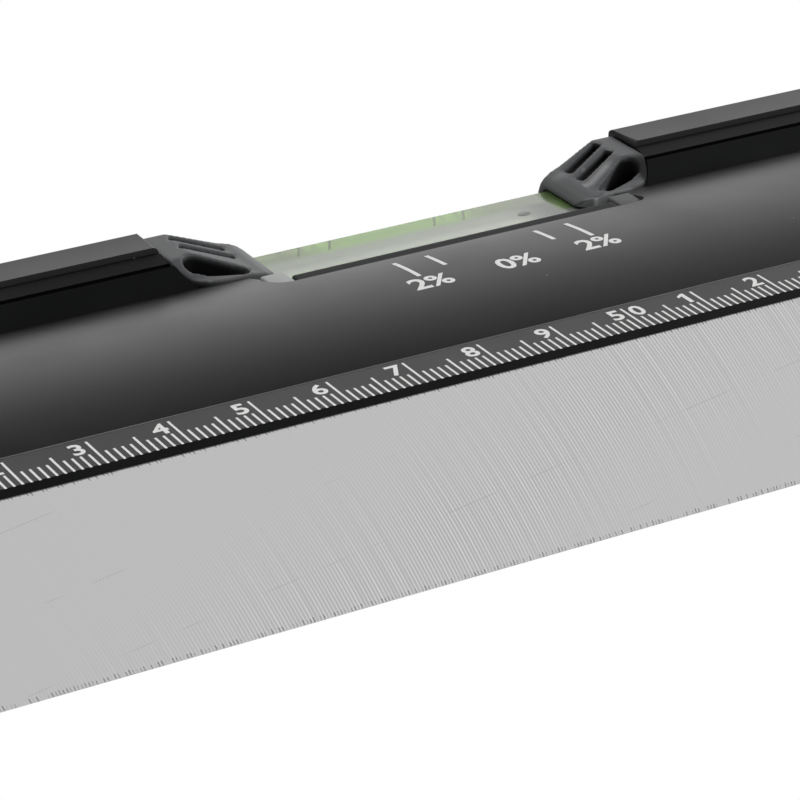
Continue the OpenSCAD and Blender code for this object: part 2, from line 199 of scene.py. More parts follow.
@dataclass(frozen=True)
class Finish:
    """A surface finish that becomes one node material."""

    name: str

    def material(self) -> bpy.types.Material:
        """Builds the material, or gives the one that is already built.

        Returns:
            The material.
        """
        made = bpy.data.materials.get(self.name)
        if made is None:
            made = bpy.data.materials.new(self.name)
            nodes = Nodes(made)
            nodes.add("ShaderNodeOutputMaterial", Surface=self.shade(nodes))
        return made

    def shade(self, nodes: Nodes) -> Socket:
        """Adds the shader; each finish has its own."""
        raise NotImplementedError


@dataclass(frozen=True)
class CoatedAluminium(Finish):
    """Extruded aluminium with a sprayed and baked coat.

    The eye sees a deep satin black that follows the light softly, with a very fine orange peel,
    and bare metal showing in a ragged line where the milling cut the coat at the base edges.
    """

    name: str = "baked_black_coat_on_aluminium"
    coat: str = "#070808"
    coat_worn: str = "#0b0c0c"
    bare: str = "#c6c6c4"
    bare_roughness: float = 0.4
    dust: str = "#8b8b88"
    dust_mm: float = 7.0
    dust_size: float = 0.012
    roughness: Pair = (0.31, 0.37)
    ior: float = 1.48
    peel_mm: float = 0.4
    peel_draw: Triple = (0.3, 1.0, 1.0)
    peel_depth_mm: float = 0.006
    peel_strength: float = 0.35
    cloud_mm: float = 14.0
    cloud_ends: Pair = (0.3, 0.7)
    burr_mm: float = 0.3
    burr_reach_mm: float = 0.02
    burr_low: float = 0.3

    def shade(self, nodes: Nodes) -> Socket:
        """Mixes the coat with bare metal below a ragged height.

        Args:
            nodes: The material's nodes.

        Returns:
            The shader.
        """
        cloud = nodes.noise(self.cloud_mm, detail=4.0)
        peel = nodes.noise(self.peel_mm, draw=self.peel_draw)
        speck = nodes.add("ShaderNodeTexVoronoi", Vector=nodes.place, Scale=per_mm(self.dust_mm))
        dusty = nodes.calc("LESS_THAN", speck.outputs["Distance"], self.dust_size)
        colour = nodes.blend(dusty, nodes.blend(cloud, self.coat, self.coat_worn), self.dust)
        rough = nodes.ramp(cloud, self.cloud_ends, *self.roughness, kind="LINEAR")
        bump = nodes.bump(peel, self.peel_depth_mm, self.peel_strength)
        coat = nodes.surface(Base_Color=colour, IOR=self.ior, Roughness=rough, Normal=bump)
        metal = nodes.surface(Base_Color=linear(self.bare), Metallic=1.0, Roughness=self.bare_roughness,
                              Normal=bump)
        reach = self.burr_reach_mm * MM
        burr = nodes.noise(self.burr_mm, detail=3.0)
        line = nodes.calc("MULTIPLY_ADD", burr, reach, -reach * self.burr_low)
        return nodes.mix(nodes.calc("LESS_THAN", nodes.axes()[2], line), coat, metal)


@dataclass(frozen=True)
class FlyCutAluminium(Finish):
    """Bare aluminium faced with a large fly cutter.

    The eye sees a pale grey metal crossed by fine, slightly bowed feed lines, which swell and fade
    along the base as the cutter sprang, with a few faint dashed lines of an earlier cut and small
    burrs along both edges. The real feed has finer lines still, under a pixel wide, left out.
    """

    name: str = "fly_cut_bare_aluminium"
    dark: str = "#a0a0a0"
    light: str = "#d2d2d2"
    burr: str = "#4e4e4e"
    roughness: Pair = (0.36, 0.5)
    rough_ends: Pair = (0.3, 0.8)
    cutter_r_mm: float = 146.0
    cutter_y_mm: float = 73.0
    feed_mm: float = 0.45
    ridge_power: float = 1.6
    uneven_mm: float = 0.8
    uneven_roughness: float = 0.7
    patch_mm: float = 22.0
    patch_ends: Pair = (0.36, 0.64)
    patch_gain: Pair = (0.7, 1.1)
    cross_slope: float = 0.158
    cross_mm: float = 5.3
    cross_w_mm: float = 0.06
    cross_ridge: float = 0.4
    cross_dull: float = 0.28
    stretch_mm: float = 9.0
    stretch_ends: Pair = (0.5, 0.6)
    edge_mm: Pair = (11.7, 12.6)
    edge_ridge: float = 0.35
    edge_uneven: float = 0.5
    edge_dull: float = 0.65
    line_depth_mm: float = 0.008
    line_strength: float = 0.4
    swell_mm: float = 140.0
    swell_at_mm: float = -9.0
    swell_slant: float = 1.7
    swell_power: float = 2.0
    level: float = 0.54
    cut_mean: float = 0.19
    least: float = 0.1

    def shade(self, nodes: Nodes) -> Socket:
        """Draws lines of equal distance behind a cutter that travels along X.

        The phase at a point is its X less the half chord of the cutter's circle at its Y.

        Args:
            nodes: The material's nodes.

        Returns:
            The shader.
        """
        calc = nodes.calc
        x, y, _ = nodes.axes()
        across = calc("SUBTRACT", y, self.cutter_y_mm * MM)
        chord = calc("SQRT", calc("SUBTRACT", (self.cutter_r_mm * MM) ** 2, calc("MULTIPLY", across, across)))
        phase = calc("SUBTRACT", x, chord)
        half = self.feed_mm / 2
        ridge = calc("MULTIPLY", calc("PINGPONG", phase, half * MM), per_mm(half))
        uneven = nodes.add("ShaderNodeTexNoise", {"noise_dimensions": "1D"}, W=phase, Detail=3.0,
                           Scale=per_mm(self.uneven_mm), Roughness=self.uneven_roughness).outputs["Fac"]
        cut = calc("MULTIPLY", calc("POWER", ridge, self.ridge_power), uneven)
        skew = calc("SUBTRACT", calc("MULTIPLY_ADD", y, self.swell_slant, x), self.swell_at_mm * MM)
        wave = calc("COSINE", calc("MULTIPLY", skew, 2 * math.pi * per_mm(self.swell_mm)))
        rise = calc("POWER", calc("MULTIPLY_ADD", wave, 0.5, 0.5), self.swell_power)
        patch = nodes.ramp(nodes.noise(self.patch_mm, detail=3.0), self.patch_ends, *self.patch_gain)
        bite = calc("MULTIPLY_ADD", rise, patch, self.least)
        lines = calc("MULTIPLY_ADD", calc("SUBTRACT", cut, self.cut_mean), bite, self.level)
        beside = calc("PINGPONG", calc("MULTIPLY_ADD", x, self.cross_slope, y), self.cross_mm * MM)
        crossed = calc("LESS_THAN", beside, self.cross_w_mm * MM)
        stretch = nodes.ramp(nodes.noise(self.stretch_mm, detail=1.0), self.stretch_ends)
        broken = calc("MULTIPLY", calc("GREATER_THAN", ridge, self.cross_ridge), stretch)
        dash = calc("MULTIPLY", calc("MULTIPLY", crossed, broken), self.cross_dull)
        rim = nodes.ramp(calc("ABSOLUTE", y), self.edge_mm, unit=MM)
        torn = calc("GREATER_THAN", calc("MULTIPLY", uneven, rim), self.edge_uneven)
        stroke = calc("MULTIPLY", calc("LESS_THAN", ridge, self.edge_ridge), torn)
        dull = calc("MAXIMUM", dash, calc("MULTIPLY", stroke, self.edge_dull))
        colour = nodes.blend(dull, nodes.blend(lines, self.dark, self.light), self.burr)
        rough = nodes.ramp(lines, self.rough_ends, *self.roughness[::-1])
        bump = nodes.bump(lines, self.line_depth_mm, self.line_strength)
        return nodes.surface(Base_Color=colour, Metallic=1.0, Roughness=rough, Normal=bump)


@dataclass(frozen=True)
class Moulded(Finish):
    """Moulded plastic or rubber from a spark-eroded mould.

    The eye sees a dark, even colour with a fine matt grain, paler edges painted as highlights,
    faces painted pale as light falling on them, and slots and pockets painted nearly black as
    shade.
    """

    name: str = "spark_textured_black_abs"
    deep: str = "#444547"
    pale: str = "#545556"
    # paler grey of the painted edge highlights
    rubbed: str = "#646566"
    # pale grey of the painted light on the right wedge
    polished: str = "#9c9d9e"
    # near black of the painted shade in slots and pockets
    hollow: str = "#060607"
    roughness: float = 0.44
    hollow_roughness: float = 0.9
    ior: float = 1.5
    grain_mm: float = 0.28
    grain_depth_mm: float = 0.012
    grain_strength: float = 0.5
    cloud_mm: float = 9.0
    edge: Pair = (0.52, 0.6)

    def shade(self, nodes: Nodes) -> Socket:
        """Adds the grain as bump, the cloud as a change of colour, paler edges as painted highlights, and the
        painted light and shade.

        Args:
            nodes: The material's nodes.

        Returns:
            The shader.
        """
        point = nodes.add("ShaderNodeNewGeometry").outputs["Pointiness"]
        depth = nodes.add("ShaderNodeAttribute", {"attribute_name": PAINTED_SHADING_ATTRIBUTE}).outputs["Fac"]
        colour = nodes.blend(nodes.noise(self.cloud_mm, detail=3.0), self.deep, self.pale)
        # painted highlight: convex edges turn paler by their pointiness
        edged = nodes.blend(nodes.ramp(point, self.edge), colour, self.rubbed)
        # painted light: where the attribute is below 0, faces turn pale grey
        lifted = nodes.blend(nodes.ramp(depth, (0.0, -1.0)), edged, self.polished)
        # painted shade: slots and pockets turn nearly black by the attribute
        painted_shade = nodes.blend(depth, lifted, self.hollow)
        rough = nodes.ramp(depth, UP, self.roughness, self.hollow_roughness)
        bump = nodes.bump(nodes.noise(self.grain_mm), self.grain_depth_mm, self.grain_strength)
        return nodes.surface(Base_Color=painted_shade, IOR=self.ior, Roughness=rough, Normal=bump)


@dataclass(frozen=True)
class Clear(Finish):
    """Clear stuff that light passes through: a pressed plug, a moulded block, dyed oil or air.

    The eye sees what lies behind it, bent a little and tinted, with faint flow lines.
    """

    name: str = "pressed_acrylic_plug"
    tint: str = "#e6efe6"
    ior: float = 1.03
    roughness: float = 0.05
    flow_mm: float = 3.0
    flow_depth_mm: float = 0.005
    flow_strength: float = 0.3
    flow_draw: Triple = (0.12, 1.0, 1.0)

    def flow(self, nodes: Nodes) -> Socket:
        """Shallow flow lines stretched along X, as a bumped normal."""
        lines = nodes.noise(self.flow_mm, detail=1.0, draw=self.flow_draw)
        return nodes.bump(lines, self.flow_depth_mm, self.flow_strength)

    def shade(self, nodes: Nodes) -> Socket:
        """Adds a transmitting shader."""
        return nodes.surface(Base_Color=linear(self.tint), IOR=self.ior, Roughness=self.roughness,
                             Transmission_Weight=1.0, Normal=self.flow(nodes))


@dataclass(frozen=True)
class HazyAcrylic(Clear):
    """Moulded acrylic, polished on top and hazy on its sides, where the mould was drawn over it.

    The eye sees the vial's green with four faint rings in the upper part of a side, its right end
    in a dark green painted as the nose's shadow, and a milky grey below, palest at the sill and painted
    dimmer at the right as the wedge's shadow.
    From above it is clear.
    """

    name: str = "moulded_acrylic_hazy_at_the_foot"
    tint: str = "#b3b8ae"
    ior: float = 1.49
    roughness: float = 0.1
    flow_mm: float = 4.0
    flow_depth_mm: float = 0.01
    glow: str = "#b8d79a"
    faint: str = "#aab29c"
    # green of the vial's end, darkened as the nose's painted shadow
    vial_end: str = "#6d8453"
    ring: str = "#8c967e"
    foot: str = "#c9cbc6"
    # grey of the wedge's painted shadow on the block's right end
    shaded: str = "#80837f"
    top: str = "#eff6e8"
    haze_mm: Pair = (45.6, 48.6)
    glow_mm: Pair = (46.4, 48.2)
    pale_mm: Pair = (43.2, 45.2)
    shade_mm: Pair = (12.0, 20.0)
    clarity: Pair = (0.3, 0.5)
    top_mm: Pair = (50.2, 50.5)
    top_clarity: float = 0.97
    end_x_mm: Pair = (19.9, 20.5)
    end_z_mm: Pair = (43.4, 44.4)
    ring_x_mm: tuple[float, float, float, float] = (-15.2, -10.7, 4.8, 9.2)
    ring_half_mm: float = 0.2
    ring_z_mm: Pair = (47.2, 48.0)
    ring_at_mm: float = 50.2
    ring_lean: float = 0.54
    green_from_mm: Pair = (-18.0, -12.0)
    green_to_mm: Pair = (13.0, 6.0)

    def shade(self, nodes: Nodes) -> Socket:
        """Adds an acrylic whose colour and clearness follow X and the height.

        Args:
            nodes: The material's nodes.

        Returns:
            The shader.
        """
        calc, blend = nodes.calc, nodes.blend
        x, _, z = nodes.axes()
        polished = nodes.ramp(z, self.top_mm, unit=MM)
        hazed = nodes.ramp(z, self.haze_mm, *self.clarity, unit=MM)
        clear = calc("MAXIMUM", hazed, calc("MULTIPLY", polished, self.top_clarity))
        bare = blend(nodes.ramp(z, self.pale_mm, unit=MM), self.foot, self.tint)
        # painted shadow of the wedge: the milky grey turns darker towards the right end
        milky = blend(nodes.ramp(x, self.shade_mm, unit=MM), bare, self.shaded)
        middle = calc("MINIMUM", nodes.ramp(x, self.green_from_mm, unit=MM),
                      nodes.ramp(x, self.green_to_mm, unit=MM))
        green = blend(nodes.ramp(z, self.glow_mm, unit=MM), milky, blend(middle, self.faint, self.glow))
        lean = calc("MULTIPLY_ADD", z, -self.ring_lean, self.ring_lean * self.ring_at_mm * MM)
        across = calc("ADD", x, lean)
        rings = [calc("COMPARE", across, at * MM, self.ring_half_mm * MM) for at in self.ring_x_mm]
        ringed = calc("MAXIMUM", calc("MAXIMUM", *rings[:2]), calc("MAXIMUM", *rings[2:]))
        tall = nodes.ramp(z, self.ring_z_mm, unit=MM)
        stroked = blend(calc("MULTIPLY", ringed, tall), green, self.ring)
        # painted shadow of the nose: the vial's right end turns dark green
        nose_shadowed = calc("MULTIPLY", nodes.ramp(x, self.end_x_mm, unit=MM), nodes.ramp(z, self.end_z_mm, unit=MM))
        colour = blend(polished, blend(nose_shadowed, stroked, self.vial_end), self.top)
        return nodes.surface(Base_Color=colour, IOR=self.ior, Roughness=self.roughness,
                             Transmission_Weight=clear, Normal=self.flow(nodes))


@dataclass(frozen=True)
class FrostedFoot(Finish):
    """Ground acrylic of the block's feet.

    The eye sees a pale matt pad at the left, and at the right one painted dimmer as the wedge's shadow on it.
    """

    name: str = "ground_acrylic_foot"
    lit: str = "#9a9d9b"
    # grey of the painted shadow on the right pad under the wedge
    dim: str = "#424443"
    roughness: float = 0.45
    ior: float = 1.49
    reach_mm: Pair = (-24.0, 24.0)
    grain_mm: float = 0.5
    grain_depth_mm: float = 0.01
    grain_strength: float = 0.3

    def shade(self, nodes: Nodes) -> Socket:
        """Mixes a lit grey and a grey of painted shade along the level, and adds the grain of the grinding.

        Args:
            nodes: The material's nodes.

        Returns:
            The shader.
        """
        # painted shadow: the right pad turns dim under the wedge
        colour = nodes.blend(nodes.ramp(nodes.axes()[0], self.reach_mm, unit=MM), self.lit, self.dim)
        bump = nodes.bump(nodes.noise(self.grain_mm), self.grain_depth_mm, self.grain_strength)
        return nodes.surface(Base_Color=colour, IOR=self.ior, Roughness=self.roughness, Normal=bump)


@dataclass(frozen=True)
class PrintedInk(Finish):
    """Screen-printed pale ink on the coat.

    The eye sees a flat pale grey with the faint mottle of the mesh.
    """

    name: str = "screen_printed_pale_ink"
    pale: str = "#e4e4e3"
    dull: str = "#d4d4d3"
    roughness: float = 0.6
    ior: float = 1.5
    mottle_mm: float = 0.4

    def shade(self, nodes: Nodes) -> Socket:
        """Mixes two greys by a fine mottle."""
        colour = nodes.blend(nodes.noise(self.mottle_mm), self.dull, self.pale)
        return nodes.surface(Base_Color=colour, IOR=self.ior, Roughness=self.roughness)


@dataclass(frozen=True)
class PlatedSteel(Finish):
    """Ground steel with a thin plating.

    The eye sees a bright grey metal with fine marks drawn across the level.
    """

    name: str = "zinc_plated_steel"
    dark: str = "#a2a4a6"
    light: str = "#c9cbcd"
    roughness: float = 0.3
    mark_mm: float = 0.3
    mark_draw: Triple = (1.0, 0.08, 1.0)

    def shade(self, nodes: Nodes) -> Socket:
        """Mixes two greys by fine marks stretched across the level."""
        colour = nodes.blend(nodes.noise(self.mark_mm, draw=self.mark_draw), self.dark, self.light)
        return nodes.surface(Base_Color=colour, Metallic=1.0, Roughness=self.roughness)


@dataclass(frozen=True)
class FloorPaint(Finish):
    """Matt pale paint near the level, plain white further off, clear from the back."""

    name: str = "pale_matt_floor"
    colour: str = "#f1f1ef"
    fade_mm: Pair = (900.0, 3500.0)

    def shade(self, nodes: Nodes) -> Socket:
        """Mixes paint and white by the distance from the level, and clears the back.

        Args:
            nodes: The material's nodes.

        Returns:
            The shader.
        """
        reach = nodes.add("ShaderNodeVectorMath", {"operation": "LENGTH"}, i0=nodes.place).outputs["Value"]
        matt = nodes.add("ShaderNodeBsdfDiffuse", Color=linear(self.colour)).outputs[0]
        white = nodes.add("ShaderNodeEmission", Strength=1.0).outputs[0]
        clear = nodes.add("ShaderNodeBsdfTransparent").outputs[0]
        back = nodes.add("ShaderNodeNewGeometry").outputs["Backfacing"]
        return nodes.mix(back, nodes.mix(nodes.ramp(reach, self.fade_mm, unit=MM), matt, white), clear)


COAT = CoatedAluminium()
# coat painted pale as highlight, for the band's bead and the sill's ends
PALE_COAT_HIGHLIGHT = CoatedAluminium("rubbed_coat_edge", "#4c4d4e", "#666768", roughness=(0.28, 0.34))
MILLED = FlyCutAluminium()
ABS = Moulded()
CRADLE = Moulded("matt_black_abs_strip", "#151617", "#1d1e1f", "#2c2d2e", roughness=0.62, ior=1.4)
RUBBER = Moulded("moulded_grey_rubber", "#2b2d2f", "#353739", "#4a4c4e", roughness=0.75, grain_mm=0.4)
RING = Moulded("black_lacquer_line", "#101010", "#181818", "#202020", grain_mm=0.5, grain_depth_mm=0.002)
GREY_DISC = Moulded("grey_disc_plastic", "#6a6d6b", "#777a78", "#808381", grain_depth_mm=0.004)
# coat painted black as shade in the rail's grooves
GROOVE_SHADE = Moulded("unrubbed_coat_in_groove", "#040404", "#060606", "#060606", roughness=0.9, ior=1.1)
ACRYLIC = HazyAcrylic()
CLEAR_BLOCK = Clear("moulded_clear_acrylic", "#f0f5ec", 1.49, 0.03, 4.0, 0.01)
PLUG = Clear(tint="#6f8a4a")
LIQUID = Clear("dyed_vial_oil", "#c4ec80", 1.06, 0.0, 6.0, 0.0)
BUBBLE = Clear("air_bubble", "#ffffff", 1.38, 0.0, 6.0, 0.0)
FROSTED = FrostedFoot()
INK = PrintedInk()
NICKEL = PlatedSteel("nickel_plated_magnet", "#b4b2ac", "#d2d0ca", 0.22, 0.25)
ZINC = PlatedSteel()
FLOOR = FloorPaint()


def put(name: str, data: Any) -> Piece:
    """Makes an object of a mesh, a lamp or a camera and links it to the scene.

    Args:
        name: The object's name.
        data: What it shows.

    Returns:
        The new object.
    """
    piece = bpy.data.objects.new(name, data)
    bpy.context.scene.collection.objects.link(piece)
    return piece


def read(items: Any, name: str, width: int = 3, kind: type = float) -> Array:
    """Reads one value of all points, corners or faces of a mesh.

    Args:
        items: The mesh's points, corners or faces.
        name: The value's name.
        width: Numbers in each value.
        kind: Type of the numbers.

    Returns:
        One row for each item, or one number where the width is 1.
    """
    values = np.empty(len(items) * width, dtype=kind)
    items.foreach_get(name, values)
    return values.reshape(-1, width) if width > 1 else values


def corners(node: str) -> list[Array]:
    """Lowest and highest corner of a node's box, in metres."""
    return [np.array(corner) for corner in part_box(node)]


def mesh_object(name: str, points: Array, faces: Any, finish: Finish) -> Piece:
    """Puts points and faces into a new object at the origin.

    Args:
        name: The piece's name.
        points: Points in metres, one row each.
        faces: Rows of point numbers, or a list of faces.
        finish: The finish of the whole piece.

    Returns:
        The new object.
    """
    mesh = bpy.data.meshes.new(name)
    mesh.from_pydata(points.tolist(), [], faces.tolist() if isinstance(faces, Array) else faces)
    mesh.validate()
    mesh.materials.append(finish.material())
    return put(name, mesh)


def merged_copy(node: str, name: str) -> Piece:
    """Copies a node's loose triangles into a new object with its corners merged.

    Args:
        node: The node's name.
        name: The new piece's name.

    Returns:
        The new object.
    """
    work = bmesh.new()
    work.from_mesh(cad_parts[node].data)
    bmesh.ops.remove_doubles(work, verts=work.verts, dist=SAME_CORNER_MM * MM)
    mesh = bpy.data.meshes.new(name)
    work.to_mesh(mesh)
    work.free()
    return put(name, mesh)


def set_out(piece: Piece, slot: Slot, *nodes: str) -> None:
    """Lets a piece ride on the level and hides the nodes that it stands for.

    Args:
        piece: The finished piece.
        slot: The record's slot; not used.
        *nodes: Nodes that it replaces.
    """
    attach(piece, LEVEL)
    if nodes:
        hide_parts(*nodes)
    LOG.info("%s on %s, %d faces", piece.name, LEVEL, len(piece.data.polygons))


def closed_piece(name: str, shape: Shape, finish: Finish, slot: Slot, *nodes: str) -> None:
    """Sets out a closed shape with its doubled points merged and its rounds shaded smooth.

    Args:
        name: The piece's name.
        shape: Points in metres and faces.
        finish: Its finish.
        slot: The record's slot.
        *nodes: Nodes that it replaces.
    """
    piece = mesh_object(name, *shape, finish)
    work = bmesh.new()
    work.from_mesh(piece.data)
    bmesh.ops.remove_doubles(work, verts=work.verts, dist=SAME_POINT_MM * MM)
    bmesh.ops.recalc_face_normals(work, faces=work.faces)
    work.to_mesh(piece.data)
    work.free()
    piece.data.shade_smooth()
    piece.data.set_sharp_from_angle(angle=SMOOTH_BELOW)
    set_out(piece, slot, *nodes)


def paint_node(node: str, finish: Finish) -> None:
    """Gives a node that stays as it is its finish.

    Args:
        node: The node's name.
        finish: Its finish.
    """
    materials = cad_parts[node].data.materials
    materials.clear()
    materials.append(finish.material())
    LOG.info("%s keeps its solid, finish %s", node, finish.name)


def tube_faces(rows: int, columns: int) -> Faces:
    """Quads between rings of points, with a cap on the first ring and on the last.

    Args:
        rows: Number of rings.
        columns: Points in each ring.

    Returns:
        The quads of each pair of rings in turn, and then the two caps.
    """
    row, column = np.meshgrid(np.arange(rows - 1) * columns, np.arange(columns), indexing="ij")
    after = (column + 1) % columns
    quads = np.stack([row + column, row + after, row + columns + after, row + columns + column], axis=-1)
    first = list(range(columns))
    last = [index + (rows - 1) * columns for index in first]
    return [*quads.reshape(-1, 4).tolist(), first[::-1], last]


def rounded_box(low: Array, high: Array, radius: float, steps: int = 5) -> Shape:
    """A box with rounded edges as a grid over the directions of its surface.

    Each point is the corner of an inner box on the side that its direction faces, plus the radius
    along the direction. The directions stop twice at each quarter turn, which makes the flat sides.

    Args:
        low: Lowest corner in metres.
        high: Highest corner in metres.
        radius: Edge radius in metres.
        steps: Steps in a quarter round.

    Returns:
        The points and the faces.
    """
    quarter = np.linspace(0, math.pi / 2, steps + 1)
    turn = np.concatenate([quarter + k * math.pi / 2 for k in range(4)])
    rise = np.concatenate([quarter - math.pi / 2, quarter])
    side_x, side_y, side_z = (np.repeat(signs, steps + 1)
                              for signs in ([1, -1, -1, 1], [1, 1, -1, -1], [-1, 1]))
    way = np.stack([np.outer(np.cos(rise), np.cos(turn)), np.outer(np.cos(rise), np.sin(turn)),
                    np.outer(np.sin(rise), np.ones_like(turn))], axis=-1)
    corner = np.stack(np.broadcast_arrays(side_x[None, :], side_y[None, :], side_z[:, None]), axis=-1)
    inner = (high - low) / 2 - radius
    points = (low + high) / 2 + corner * inner + radius * way
    return points.reshape(-1, 3), tube_faces(len(rise), len(turn))


def round_rod(radius: float, low: float, high: float, edge: float, sides: int = 48, steps: int = 4) -> Shape:
    """A rod along Z with rounded rims: a circle carried along a profile of heights and radii.

    Args:
        radius: Radius of the rod.
        low: Lower end.
        high: Upper end.
        edge: Radius of the rims.
        sides: Points around the rod.
        steps: Steps in a rim's round.

    Returns:
        The points and the faces.
    """
    quarter = np.linspace(0, math.pi / 2, steps + 1)
    heights = np.concatenate([low + edge * (1 - np.cos(quarter)), high - edge * (1 - np.cos(quarter[::-1]))])
    rim = radius - edge * (1 - np.sin(quarter))
    radii = np.concatenate([rim, rim[::-1]])
    turn = np.linspace(0, 2 * math.pi, sides, endpoint=False)
    points = np.stack([np.outer(radii, np.cos(turn)), np.outer(radii, np.sin(turn)),
                       np.outer(heights, np.ones(sides))], axis=-1)
    return points.reshape(-1, 3), tube_faces(len(heights), sides)


@dataclass
class Profile:
    """The extruded body: crowned faces, ruler band, waist and rail, with the base milled bare.

    The sizes are those of the section's rounds, in millimetres, and turns are in degrees.
    """

    crown_z: float = 20.3
    crown_r: float = 62.0
    ruler_z: float = 7.45
    edge_r: float = 0.85
    edge_turn: Pair = (45.0, 84.0)
    edge_least: float = 0.05
    rail_r: float = 0.7
    rail_out: float = 0.4
    round_off: float = 0.02
    round_turn: float = 9.0
    base_off: float = 0.01
    bead_r: float = 0.1
    bead_flat: float = 0.6
    bead_sides: int = 12
    groove_z: Pair = (45.75, 46.65)
    groove_facing: float = 0.5
    sill_half: float = 27.2
    sill_off: float = 0.05
    sill_facing: float = 0.9

    def __post_init__(self) -> None:
        """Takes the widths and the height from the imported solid."""
        low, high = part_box("profile")
        self.crown_half = high.y / MM
        self.height = high.z / MM
        self.left = low.x / MM
        self.right = high.x / MM
        self.base_half = self.face_half(np.array(self.ruler_z)).item()

    def face_half(self, z: Array) -> Array:
        """Half width of the level at a height, in millimetres.

        The crown is a circle about the height where the face is widest, and the ruler band below
        it is upright.

        Args:
            z: Heights in millimetres.

        Returns:
            Half widths in millimetres.
        """
        middle = self.crown_half - self.crown_r
        return middle + np.sqrt(self.crown_r ** 2 - (np.maximum(z, self.ruler_z) - self.crown_z) ** 2)

    def rounds(self) -> list[Triple]:
        """Middle Y, middle Z and radius of each round of the section, for the side of positive Y."""
        return [(self.crown_half - self.crown_r, self.crown_z, self.crown_r),
                (self.base_half - self.edge_r, self.edge_r, self.edge_r),
                (self.base_half + self.rail_out - self.rail_r, self.height - self.rail_r, self.rail_r)]

    def true_normals(self, mesh: bpy.types.Mesh) -> Array:
        """Normals of every face corner, taken from the true rounds where the face is part of one.

        A corner belongs to a round if it lies on it and its face is nearly square to the radius. The
        base edges were broken with a file, so they shade as one flat slope, a slight one at the back,
        where the cutter ran over it.

        Args:
            mesh: The merged mesh.

        Returns:
            One normal for each corner.
        """
        count = len(mesh.loops)
        at = read(mesh.vertices, "co")[read(mesh.loops, "vertex_index", 1, np.int32)] / MM
        sizes = read(mesh.polygons, "loop_total", 1, np.int32)
        normals = np.repeat(read(mesh.polygons, "normal"), sizes, axis=0)
        side = np.where(at[:, 1] < 0, -1.0, 1.0)
        for middle_y, middle_z, radius in self.rounds():
            way = np.stack([np.zeros(count), at[:, 1] * side - middle_y, at[:, 2] - middle_z], axis=-1)
            reach = np.linalg.norm(way, axis=1)
            way = way / np.maximum(reach, 1e-9)[:, None]
            way[:, 1] *= side
            square = np.einsum("ij,ij->i", way, normals) > math.cos(math.radians(self.round_turn))
            on_round = (np.abs(reach - radius) < self.round_off) & square
            if radius == self.edge_r:
                on_round &= np.abs(normals[:, 1:]).min(axis=1) > self.edge_least
                slope = np.radians(np.where(side < 0, *self.edge_turn))
                way = np.stack([np.zeros(count), side * np.cos(slope), -np.sin(slope)], axis=-1)
            normals[on_round] = way[on_round]
        return normals

    def shell(self) -> None:
        """Copies the solid, shades its rounds smooth and gives each face its finish.

        The base and its back edge are milled, the grooves are painted black as shade and the sill's ends are
        painted in a paler coat as light falling on them.
        """
        piece = merged_copy("profile", "profile_shell")
        mesh = piece.data
        for finish in (COAT, MILLED, GROOVE_SHADE, PALE_COAT_HIGHLIGHT):
            mesh.materials.append(finish.material())
        centre = read(mesh.polygons, "center").T / MM
        facing = read(mesh.polygons, "normal").T
        base = np.abs(centre[2]) < self.base_off
        back_edge = (np.minimum(facing[1], -facing[2]) > self.edge_least) & (centre[2] < self.edge_r)
        # painted shade: the groove faces take a matt black coat
        groove = (centre[2] > self.groove_z[0]) & (centre[2] < self.groove_z[1])
        groove &= np.abs(facing[0]) < self.groove_facing
        # painted light: the sill's end walls take the paler coat
        sill_end = np.abs(np.abs(centre[0]) - self.sill_half) < self.sill_off
        sill_end &= np.abs(facing[0]) > self.sill_facing
        kind = np.select([base | back_edge, groove, sill_end], [1, 2, 3], 0)
        mesh.polygons.foreach_set("material_index", kind.astype(np.int32))
        mesh.shade_smooth()
        mesh.normals_split_custom_set(self.true_normals(mesh))
        set_out(piece, Slot.PROFILE, "profile")

    def band_bead(self) -> None:
        """The fine bead along the ruler band's upper edge, a flat round carried along X, in a coat painted
        pale as its highlight.
        """
        turn = np.linspace(0, 2 * math.pi, self.bead_sides, endpoint=False)
        ends = np.array([self.left, self.right])
        y = -self.base_half - self.bead_r * np.cos(turn) * self.bead_flat
        z = self.ruler_z + self.bead_r * np.sin(turn)
        points = np.stack(np.broadcast_arrays(ends[:, None], y[None, :], z[None, :]), axis=-1).reshape(-1, 3)
        closed_piece("ruler_band_bead", (points * MM, tube_faces(2, len(turn))), PALE_COAT_HIGHLIGHT, Slot.PROFILE)


